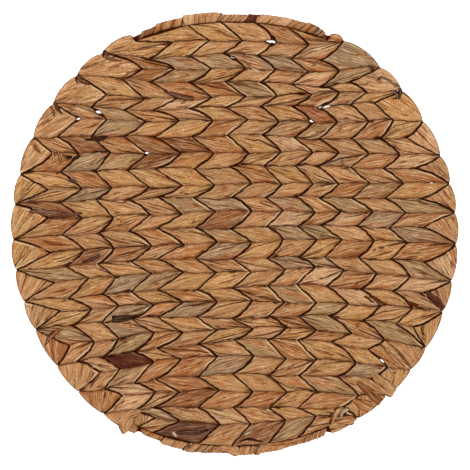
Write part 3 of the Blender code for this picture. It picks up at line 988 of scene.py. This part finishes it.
class Strips:
    """Closed strips of leaf, gathered for one mesh."""

    def __init__(self):
        self.points = []
        self.faces = []
        self.attributes = {"strand": [], "tone": [], "borders": [], "folds": []}
        self.first = 0

    def add(self, shape, flat, levels, strand, under_lane=0.0, **attributes):
        """One strip, from its grid's shape, its points seen from above and their upper and lower levels."""
        count = len(flat)
        self.points += [np.column_stack((flat, level)) for level in levels]
        self.faces.extend(pillow_faces(shape, self.first, self.first + count).tolist())
        self.attributes["strand"] += [strand, strand + (0.0, 0.0, under_lane)]
        for name, values in attributes.items():
            self.attributes[name] += [values, values]
        self.first += 2 * count

    def make_piece(self, name, material):
        attributes = {key: np.concatenate(parts) for key, parts in self.attributes.items()}
        mesh = leaf_mesh(name, np.concatenate(self.points), self.faces, **attributes)
        return add_piece(name, mesh, material)


def make_row(plan, row, strokes, shift, material):
    """One row of strokes as one piece."""
    strips = Strips()
    for number, stroke in strokes:
        dice = random.Random(LEAF_SEED + number)
        pillow = Pillow(plan, stroke, dice)
        levels = (pillow.top, pillow.low)
        strand = pillow.strand()
        tone = np.tile(stroke_tone(pillow.loop, dice), (len(pillow.points), 1))
        borders, folds = pillow.borders()
        folds = np.column_stack((folds, streak_share(tone)))
        strips.add(pillow.shape, pillow.points - shift, levels, strand, UNDER_LANE,
                   tone=tone, borders=borders, folds=folds)
    return strips.make_piece(f"leaf_row_{row + 1:02d}", material)


def smooth_course(path):
    """A smooth curve through a short path of places with widths, at even steps."""
    path = np.array(path, float)
    doubled = np.concatenate((2 * path[:1] - path[1:2], path, 2 * path[-1:] - path[-2:-1]))
    course = []
    for a, b, c, d in zip(doubled, doubled[1:], doubled[2:], doubled[3:]):
        steps = max(3, round(np.linalg.norm((c - b)[:2]) / LOOSE_STEP))
        for t in np.arange(steps) / steps:
            course.append(((2 * b) + (c - a) * t + (2 * a - 5 * b + 4 * c - d) * t**2
                           + (3 * b - a - 3 * c + d) * t**3) / 2)
    course.append(path[-1])
    return np.array(course)


class Surface:
    """The upper side of all the pieces so far, for things that lie on them."""

    def __init__(self, pieces):
        tops = np.array([vertex.co for piece in pieces for vertex in piece.data.vertices])
        tops = tops[tops[:, 2] > BASE_TOP - LOOSE_SINK]
        self.levels = tops[:, 2]
        self.tree = KDTree(len(tops))
        for number, (x, y, _) in enumerate(tops):
            self.tree.insert((x, y, 0.0), number)
        self.tree.balance()

    def level(self, x, y):
        near = self.tree.find_n((x, y, 0.0), LOOSE_NEIGHBOURS)
        return sum(self.levels[number] for _, number, _ in near) / len(near)


def ribbon_levels(surface, flat, shape, swell):
    """Upper and lower levels of a strip that is pressed onto what lies under it."""
    levels = np.array([surface.level(x, y) for x, y in flat]).reshape(shape)
    padded = np.concatenate((levels[:1], levels[:1], levels, levels[-1:], levels[-1:]))
    levels = sum(padded[k : k + shape[0]] for k in range(5)) / 5
    lens = np.sqrt(np.maximum(1 - np.linspace(-1.0, 1.0, shape[1]) ** 2, 0.0))
    end = np.minimum(np.arange(shape[0]), np.arange(shape[0])[::-1])
    rise = swell * MM * lens[None] * np.sqrt(np.minimum(end / LOOSE_END_STEPS, 1.0))[:, None]
    top = np.minimum(levels + rise, LOOSE_TOP)
    return top.ravel(), np.maximum(levels - LOOSE_SINK - rise, 0.0).ravel()


def make_loose_leaf(surface, shift, material):
    """Torn ends, tucks and folds that lie on the weave, each a closed strip."""
    strips = Strips()
    dice = random.Random(LEAF_SEED + 1)
    across = np.linspace(-1.0, 1.0, LOOSE_ROUNDS + 1)
    for name, swell, path in LOOSE_LEAF:
        course = smooth_course([
            ((x - PHOTO_CENTRE[0]) * PHOTO_PIXEL, (PHOTO_CENTRE[1] - y) * PHOTO_PIXEL, width * PHOTO_PIXEL)
            for x, y, width in path
        ])
        runs = np.gradient(course[:, :2], axis=0)
        runs /= np.linalg.norm(runs, axis=1)[:, None]
        sideways = np.column_stack((-runs[:, 1], runs[:, 0]))
        half = course[:, 2] / 2
        flat = course[:, None, :2] + sideways[:, None] * (half[:, None] * across)[:, :, None] - shift
        shape = flat.shape[:2]
        flat = flat.reshape(-1, 2)
        lane = np.full(len(flat), dice.uniform(*LANES))
        along = np.repeat(travelled(course[:, :2]), shape[1])
        strand = np.column_stack((along, np.outer(half, across).ravel(), lane))
        tone = np.tile(screen_to_linear(TONES[name]) * dice.uniform(*LOOSE_BRIGHTNESS), (len(flat), 1))
        # Painted shade: a dark line round each loose bit's edge
        contour = (half[:, None] * (1 - np.abs(across))).ravel() * LOOSE_CONTOUR / MM
        far = np.full(len(flat), FAR / MM)
        strips.add(shape, flat, ribbon_levels(surface, flat, shape, swell), strand, tone=tone,
                   borders=np.column_stack((far, far, far)),
                   folds=np.column_stack((far, contour, streak_share(tone))))
    return strips.make_piece("loose_leaf_ends", material)


def rim_course(name):
    """The rim's middle line from left to right: angles, and the distance travelled along it."""
    first, last = (math.radians(end) for end in RIM_ENDS[name])
    clearance = RIM_END_CLEARANCE / outline_radius(first)
    start, stop = (last, first) if name == "rim_top" else (first, last)
    turn = 1 if stop > start else -1
    start, stop = start + turn * clearance, stop - turn * clearance
    steps = round(abs(stop - start) * outline_radius(start) / RIM_STEP)
    angles = np.linspace(start, stop, steps + 1)
    middles = np.array([polar(a, outline_radius(a) - RIM_WIDTH / 2) for a in angles])
    return angles, middles, travelled(middles)


def list_wraps(name, middles, travel):
    """Each wrap of a rim: start, tone, width share, lean and groove depth."""
    places = np.interp([band[0] * MM for band in RIM_BANDS[name]], middles[:, 0], travel)
    places = np.append(places, travel[-1])
    wraps = []
    dice = random.Random(LEAF_SEED - len(name))
    for band, start, stop in zip(RIM_BANDS[name], places, places[1:]):
        _, tone, width, count, lean, groove = band
        for number in range(count):
            offset = 0 if number == 0 else dice.uniform(-WRAP_SCATTER, WRAP_SCATTER)
            place = start + (stop - start) * (number + offset) / count
            swell = width * (1 + (0 if number == 0 else dice.uniform(-WRAP_SPREAD, WRAP_SPREAD)))
            wraps.append((place, tone, swell, lean, groove * (1 if number == 0 else BAND_GROOVES)))
    return wraps


def make_rim(name, shift, material):
    """A rim wound with leaf. Each wrap overlaps the one before it, with a groove where it starts."""
    angles, middles, travel = rim_course(name)
    wraps = list_wraps(name, middles, travel)
    starts = np.array([wrap[0] for wrap in wraps])
    swells, leans, grooves = (np.array([wrap[k] for wrap in wraps]) for k in (2, 3, 4))
    tones = np.array([screen_to_linear(TONES[wrap[1]]) for wrap in wraps])
    dice = random.Random(LEAF_SEED + len(name))
    tones = tones * np.array([dice.uniform(*WRAP_BRIGHTNESS) for _ in wraps])[:, None]
    round_angles = np.arange(RIM_ROUNDS) / RIM_ROUNDS * 2 * math.pi
    out, up = np.cos(round_angles), np.sin(round_angles)
    side = 1 if name == "rim_top" else -1
    rings = len(travel)
    here = np.repeat(travel[:, None], RIM_ROUNDS, axis=1)
    rough_number = np.clip(np.searchsorted(starts, here, side="right") - 1, 0, len(wraps) - 1)
    leaned = here - side * leans[rough_number] * out[None] * RIM_WIDTH / 2
    number = np.clip(np.searchsorted(starts, leaned, side="right") - 1, 0, len(wraps) - 1)
    ends = np.append(starts[1:], travel[-1] + 0.01)
    from_start = leaned - starts[number]
    to_end = ends[number] - leaned
    next_grooves = grooves[np.minimum(number + 1, len(wraps) - 1)]
    nearest_groove = np.where(from_start < to_end, grooves[number], next_grooves)
    groove = bell(np.minimum(np.abs(from_start), np.abs(to_end)), GROOVE_WIDTH) * nearest_groove
    lip = np.exp(-np.clip(from_start, 0, None) / LIP_FADE) * grooves[number]
    end_share = np.clip(np.minimum(here, travel[-1] - here) / RIM_TAPER_LENGTH, 0.0, 1.0)
    taper = RIM_TAPER + (1 - RIM_TAPER) * np.sin(end_share * math.pi / 2)
    half = RIM_WIDTH / 2 * swells[number] * taper
    half = half - GROOVE_DEPTH * groove + WRAP_LIP * lip * taper
    half_height = np.minimum(half, MOST_RIM_HALF_HEIGHT)
    outward = np.column_stack((np.cos(angles), np.sin(angles)))
    growth = half.mean(axis=1) - RIM_WIDTH / 2
    growth = growth * np.where(growth > 0, RIM_GROWTH_OUTWARD, 1.0)
    centres = middles + outward * growth[:, None] - shift
    flat = centres[:, None, :] + outward[:, None, :] * (half * out[None])[:, :, None]
    height = np.maximum(RIM_HEIGHT / 2 + half_height * up[None], 0.0)
    points = np.concatenate((flat, height[:, :, None]), axis=2).reshape(-1, 3)
    caps = np.array([points[:RIM_ROUNDS].mean(axis=0), points[-RIM_ROUNDS:].mean(axis=0)])
    points = np.concatenate((points, caps))
    faces = tube_faces(rings, RIM_ROUNDS, side)
    around = np.tile(round_angles * RIM_WIDTH / 2, (rings, 1))
    strand = np.stack((around, leaned, number * WRAP_LANE), axis=2).reshape(-1, 3)
    # Painted shade: dark lines in the grooves between wraps
    near = np.minimum(np.abs(from_start), np.abs(to_end)) / MM / np.maximum(nearest_groove, 0.2) / WRAP_LINE
    far = np.full(near.shape, FAR / MM)
    borders = np.stack((far, far, near), axis=2).reshape(-1, 3)
    tone = tones[number].reshape(-1, 3)
    # Painted shade: the rim darkens toward its inner and outer sides, so that it looks round
    side_distance = (1 - np.abs(out)) * np.where(out < 0, RIM_LINE_THINNING, 1.0) * RIM_WIDTH / 2 / MM
    side_distance = np.broadcast_to(side_distance, near.shape).ravel()
    folds = np.column_stack((far.ravel(), side_distance, streak_share(tone)))
    attributes = {"strand": strand, "tone": tone, "borders": borders, "folds": folds}
    with_caps = {key: np.concatenate((values, values[[0, -1]])) for key, values in attributes.items()}
    mesh = leaf_mesh("wound_" + name, points, faces, **with_caps)
    rim = add_piece("wound_" + name, mesh, material)
    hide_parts(name)
    return rim


def tube_faces(rings, rounds, side):
    """Faces of a tube of rings, whose ends are closed with fans to the last two points."""
    numbers = np.arange(rings * rounds).reshape(rings, rounds)
    after = np.roll(numbers, -1, axis=1)
    a, b, c, d = numbers[:-1].ravel(), after[:-1].ravel(), after[1:].ravel(), numbers[1:].ravel()
    faces = np.column_stack((a, b, c, d) if side > 0 else (d, c, b, a)).tolist()
    for ring, tip, facing in ((0, rings * rounds, -side), (-1, rings * rounds + 1, side)):
        for here, there in zip(numbers[ring].tolist(), after[ring].tolist()):
            faces.append((here, there, tip) if facing > 0 else (there, here, tip))
    return faces


def core_radius(angle):
    """The core's radius: just inside the outline, and under the middle of the rims where they run."""
    under_rim = any(first < math.degrees(angle) < last for first, last in RIM_ENDS.values())
    return outline_radius(angle) - (RIM_WIDTH / 2 if under_rim else CORE_MARGIN)


def make_core(shift, material):
    """The dark sheet under the strokes, painted shade at the bottom of the gaps, with its slits open."""
    loops = [[polar(a, core_radius(a)) for a in np.arange(CORE_POINTS) / CORE_POINTS * 2 * math.pi]]
    for x, y, length, width, angle in SLITS:
        turns = [2 * math.pi * step / SLIT_POINTS for step in range(SLIT_POINTS)]
        places = [(math.cos(t) * length / 2, math.sin(t) * width / 2) for t in turns]
        loops.append([((x, y) + turned(place, angle)) * MM for place in places])
    bm = bmesh.new()
    edges = []
    for loop in loops:
        verts = [bm.verts.new((*(point - shift), CORE_LEVELS[0])) for point in loop]
        edges += [bm.edges.new(pair) for pair in zip(verts, verts[1:] + verts[:1])]
    bmesh.ops.triangle_fill(bm, edges=edges, use_beauty=True, normal=(0, 0, 1))
    raised = bmesh.ops.extrude_face_region(bm, geom=list(bm.faces), use_keep_orig=True)["geom"]
    for item in raised:
        if isinstance(item, bmesh.types.BMVert):
            item.co.z = CORE_LEVELS[1]
    bmesh.ops.recalc_face_normals(bm, faces=bm.faces)
    mesh = bpy.data.meshes.new("shade_core_sheet")
    bm.to_mesh(mesh)
    bm.free()
    return add_piece("shade_core_sheet", mesh, material)


class Wiring:
    """Adds linked nodes to a new material."""

    def __init__(self, name):
        self.material = bpy.data.materials.new(name)
        self.material.use_nodes = True
        self.tree = self.material.node_tree
        self.shader = self.tree.nodes["Principled BSDF"]

    def feed(self, socket, value):
        if isinstance(value, bpy.types.NodeSocket):
            self.tree.links.new(value, socket)
        else:
            socket.default_value = value

    def node(self, kind, inputs=None, **settings):
        """The outputs of a new node. Its inputs go by name or number, and may be other nodes' outputs."""
        node = self.tree.nodes.new("ShaderNode" + kind)
        for name, value in settings.items():
            setattr(node, name, value)
        for name, value in (inputs or {}).items():
            self.feed(node.inputs[name], value)
        return node.outputs

    def attribute(self, name, output):
        return self.node("Attribute", attribute_name=name)[output]

    def parts(self, vector):
        return self.node("SeparateXYZ", {"Vector": vector})

    def calc(self, operation, *values):
        return self.node("Math", dict(enumerate(values)), operation=operation)["Value"]

    def times(self, *values):
        return self.calc("MULTIPLY", *values)

    def over(self, *values):
        return self.calc("DIVIDE", *values)

    def larger(self, *values):
        return self.calc("MAXIMUM", *values)

    def noise(self, vector, scale, detail, roughness):
        stretched = self.node("VectorMath", {0: vector, 1: scale}, operation="MULTIPLY")["Vector"]
        inputs = {"Vector": stretched, "Scale": 1.0, "Detail": detail, "Roughness": roughness}
        return self.node("TexNoise", inputs)["Fac"]

    def ramp(self, value, low, high, to_low=0.0, to_high=1.0):
        inputs = {"Value": value, "From Min": low, "From Max": high, "To Min": to_low, "To Max": to_high}
        return self.node("MapRange", inputs, interpolation_type="SMOOTHSTEP")["Result"]

    def mix(self, share, a, b):
        return self.node("Mix", {"Factor": share, 6: a, 7: b}, data_type="RGBA")[2]

    def scaled(self, colour, value):
        return self.node("VectorMath", {0: colour, "Scale": value}, operation="SCALE")["Vector"]

    def shaded(self, inputs):
        """The material, once the shader has these inputs."""
        for name, value in inputs.items():
            self.feed(self.shader.inputs[name], value)
        return self.material


def streak_colour(name):
    return (*screen_to_linear(STREAK_TONES[name]), 1.0)


class LeafWiring(Wiring):
    """Dried leaf: fibres that run along the strand, in streaks of several browns, with painted shade in gaps
    and folds and painted highlights on the lips.
    """

    def __init__(self, name, grain_strength, faintest_seam):
        super().__init__(name)
        self.grain_strength = grain_strength
        self.faintest_seam = faintest_seam
        self.strand = self.attribute("strand", "Vector")
        self.colour = self.attribute("tone", "Color")
        self.right, self.left, self.seam = self.parts(self.attribute("borders", "Vector"))
        self.fold, self.outline, self.streaks = self.parts(self.attribute("folds", "Vector"))
        self.paint_fibres()
        self.paint_cracks()
        self.paint_shade_and_highlights()
        self.paint_shade_lines()

    def leaf_noise(self, scale, detail=1.0, roughness=0.5):
        return self.noise(self.strand, scale, detail, roughness)

    def paint(self, share, tone):
        self.colour = self.mix(share, self.colour, streak_colour(tone))

    def streak(self, share, tone):
        """Like paint, but with little effect on dark leaf."""
        self.paint(self.times(share, self.streaks), tone)

    def paint_fibres(self):
        strength = self.grain_strength
        broad = self.leaf_noise((24, 150, 1), 2.0)
        self.blotch = self.leaf_noise((70, 210, 1.3), 2.0)
        streak = self.leaf_noise((34, 1050, 1), 2.0, 0.65)
        hatch = self.leaf_noise((100, 1500, 1.7))
        self.fibre = self.leaf_noise((160, 2400, 1))
        self.streak(self.ramp(broad, 0.50, 0.72, 0.0, 0.70), "rust")
        self.streak(self.ramp(broad, 0.46, 0.28, 0.0, 0.45), "olive")
        self.streak(self.ramp(self.blotch, 0.50, 0.70, 0.0, 0.40), "gold")
        self.grain = self.calc("MULTIPLY_ADD", streak, 0.55, self.times(hatch, 0.45))
        self.paint(self.ramp(self.grain, 0.47, 0.34, 0.0, 0.90 * strength), "dark")
        self.streak(self.ramp(self.grain, 0.50, 0.61, 0.0, 0.95 * strength), "bright")
        light = self.ramp(self.fibre, 0.3, 0.7, 1 - 0.22 * strength, 1 + 0.20 * strength)
        self.colour = self.scaled(self.colour, light)
        speck = self.leaf_noise((700, 1300, 2.1))
        light = self.ramp(speck, 0.3, 0.7, 1 - 0.38 * strength, 1 + 0.37 * strength)
        self.colour = self.scaled(self.colour, light)

    def paint_cracks(self):
        """Short dark cracks, and thin creases in some places."""
        crack = self.ramp(self.leaf_noise((45, 520, 7.3), 1.0, 0.4), 0.36, 0.31, 0.0, CRACK_STRENGTH)
        crease = self.calc("SUBTRACT", self.leaf_noise((24, 240, 4.4), 1.0, 0.4), 0.5)
        crease = self.ramp(self.calc("ABSOLUTE", crease), 0.030, 0.008)
        crease = self.times(crease, self.ramp(self.blotch, 0.47, 0.58, 0.0, CREASE_STRENGTH))
        self.paint(self.larger(crack, crease), "dark")

    def paint_shade_and_highlights(self):
        """Painted soft shade beside the left border and the seam, then painted highlights on the lips beside
        the lines.
        """
        self.wobble = self.ramp(self.leaf_noise((260, 260, 3.1), 2.0, 0.6), 0.30, 0.70, 0.55, 1.6)
        self.at_tips = self.ramp(self.calc("MINIMUM", self.left, self.right), 6.0, 0.5, 1.0, 2.4)
        # Painted highlight: pale light in patches on the lips beside the right and left borders
        lip = self.times(self.ramp(self.right, 0.65, 0.90), self.ramp(self.right, 2.1, 1.4))
        highlight_patches = self.leaf_noise((36, 60, 11.7))
        lip = self.times(lip, self.ramp(highlight_patches, 0.49, 0.64, 0.0, 0.85))
        left_lip_highlight = self.times(self.ramp(self.left, 0.9, 1.2), self.ramp(self.left, 2.2, 1.5, 0.0, 0.20))
        self.left = self.over(self.left, self.wobble)
        self.seam = self.over(self.seam, self.wobble)
        # Painted shade: soft darkening beside the seam, wider near the tips, and beside the left border
        # where the stroke dips under its neighbour
        seam_shade = self.ramp(self.over(self.seam, self.at_tips), 1.2, 0.2, 0.0, 0.26)
        self.paint(self.larger(self.ramp(self.left, 2.0, 0.4, 0.0, 0.36), seam_shade), "dark")
        # Paints the highlights on the lips
        self.streak(self.larger(lip, left_lip_highlight), "highlighted")

    def paint_shade_lines(self):
        """Painted shade: dark lines in the gaps at the borders, in the folds and round the outline."""
        strength = self.ramp(self.leaf_noise((48, 20, 9.1)), 0.40, 0.60, self.faintest_seam, 0.92)
        swelling = self.ramp(self.leaf_noise((75, 130, 5.3)), 0.52, 0.74, 0.8, 3.2)
        swelling = self.times(swelling, self.at_tips)
        line = self.ramp(self.over(self.right, self.wobble), 0.48, 0.14)
        line = self.larger(line, self.ramp(self.left, 0.74, 0.30))
        line = self.larger(line, self.times(self.ramp(self.over(self.seam, swelling), 0.50, 0.12), strength))
        line = self.larger(line, self.ramp(self.fold, 1.2, 0.3, 0.0, 0.85))
        line = self.larger(line, self.ramp(self.over(self.outline, self.wobble), 0.8, 0.1, 0.0, 0.7))
        # Paints the shade lines
        self.paint(line, "groove")
        self.line = line


def make_leaf(name, grain_strength, faintest_seam):
    leaf = LeafWiring(name, grain_strength, faintest_seam)
    height = leaf.calc("MULTIPLY_ADD", leaf.grain, 0.8, leaf.times(leaf.fibre, 0.2))
    bump = leaf.node("Bump", {"Height": height, "Distance": BUMP_DEPTH, "Strength": grain_strength})
    roughness = leaf.ramp(leaf.grain, 0.35, 0.65, 0.62, 0.46)
    gloss = leaf.times(leaf.ramp(leaf.line, 0.0, 0.6, 0.10, 0.0), leaf.ramp(leaf.right, 0.4, 1.6))
    return leaf.shaded({
        "Base Color": leaf.colour,
        "Roughness": roughness,
        "Specular IOR Level": gloss,
        "Specular Tint": GLOSS_TINT,
        "Normal": bump["Normal"],
    })


def make_core_material():
    """Painted shade: leaf under the strokes, coloured as dark as it looks in their shade."""
    core = Wiring("core_painted_shade")
    mottle = core.noise(core.node("TexCoord")["Object"], (260, 420, 1), 3.0, 0.6)
    colour = core.mix(mottle, streak_colour("shade"), streak_colour("lit shade"))
    return core.shaded({"Base Color": colour, "Roughness": 0.8, "Specular IOR Level": 0.0})


def make_stage():
    """A white floor that shines as much as it needs to show no shadow."""
    bm = bmesh.new()
    bmesh.ops.create_grid(bm, x_segments=1, y_segments=1, size=FLOOR_SIZE / 2)
    bmesh.ops.translate(bm, verts=bm.verts, vec=(0.0, 0.0, FLOOR_LEVEL))
    mesh = bpy.data.meshes.new("floor")
    bm.to_mesh(mesh)
    bm.free()
    paint = {"Base Color": FLOOR_WHITE, "Roughness": 0.9, "Specular IOR Level": 0.0}
    glow = {"Emission Color": WHITE, "Emission Strength": FLOOR_GLOW}
    mesh.materials.append(Wiring("white_floor").shaded(paint | glow))
    floor = add_object("floor", mesh)


def make_light(name, place, power, size):
    lamp = bpy.data.lights.new(name, "AREA")
    lamp.shape = "DISK"
    lamp.size = size
    lamp.energy = power
    holder = add_object(name, lamp)
    holder.location = place
    holder.rotation_euler = Vector(place).to_track_quat("Z", "Y").to_euler()


def make_camera(shift):
    lens = bpy.data.cameras.new("from_above")
    lens.sensor_width = SENSOR_WIDTH
    lens.lens = SENSOR_WIDTH * CAMERA_HEIGHT / VIEW_WIDTH
    lens.clip_start = 0.1
    camera = add_object("from_above", lens)
    camera.location = (VIEW_CENTRE[0] - shift[0], VIEW_CENTRE[1] - shift[1], CAMERA_HEIGHT)
    bpy.context.scene.camera = camera


def light_scene():
    world = bpy.data.worlds.new("white")
    world.use_nodes = True
    background = world.node_tree.nodes["Background"]
    background.inputs["Color"].default_value = WHITE
    background.inputs["Strength"].default_value = WORLD_STRENGTH
    bpy.context.scene.world = world
    for name, (place, power, size) in LIGHTS.items():
        make_light(name, place, power, size)
    bpy.context.scene.view_settings.view_transform = "Standard"


def plan_shift(plan):
    """How far the plan's points lie from where the solids stand."""
    loop = np.array([plan.points[number] for stroke in plan.strokes for number in stroke.loop])
    low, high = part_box("woven_field")
    middle = np.array(((low[0] + high[0]) / 2, (low[1] + high[1]) / 2))
    return (loop.min(axis=0) + loop.max(axis=0)) / 2 - middle


def main():
    plan = Plan()
    shift = plan_shift(plan)
    make_camera(shift)
    light_scene()
    make_stage()
    woven = make_leaf("woven_leaf_fibre", 0.60, 0.30)
    wrapped = make_leaf("wrapped_leaf_fibre", 0.5, 0.90)
    core = make_core(shift, make_core_material())
    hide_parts("woven_field")
    pieces = []
    for row in range(ROWS):
        strokes = [(number, stroke) for number, stroke in enumerate(plan.strokes) if stroke.row == row]
        piece = make_row(plan, row, strokes, shift, woven)
        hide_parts("woven_field")
        pieces.append(piece)
    pieces += [make_rim(name, shift, wrapped) for name in RIM_BANDS]
    pieces.append(make_loose_leaf(Surface(pieces), shift, woven))


main()
